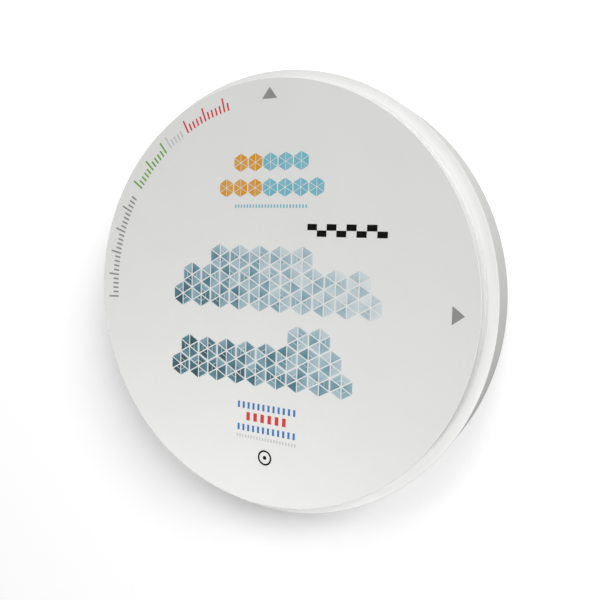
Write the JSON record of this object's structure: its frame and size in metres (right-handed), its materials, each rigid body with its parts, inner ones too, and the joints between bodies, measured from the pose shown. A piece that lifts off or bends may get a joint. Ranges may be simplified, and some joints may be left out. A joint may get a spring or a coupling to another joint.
{
  "type": "dental milling disc",
  "caption": "Round zirconia blank with a clamping collar and a raised face on each side, from which dental crowns and bridges are milled.",
  "frame": {"origin": "centre of the back face, which the disc lies on", "axes": "+Z along the disc's axis, from the back face to the printed front face; +Y towards the front face's twelve o'clock mark; +X towards its three o'clock mark"},
  "size_m": [0.0984, 0.0984, 0.018],
  "materials": {
    "half_fired_zirconia": "matt off-white, pressed and turned, with a soft sheen on the face"
  },
  "bodies": {
    "root": {"milling_disc": "half_fired_zirconia"}
  },
  "joints": []
}
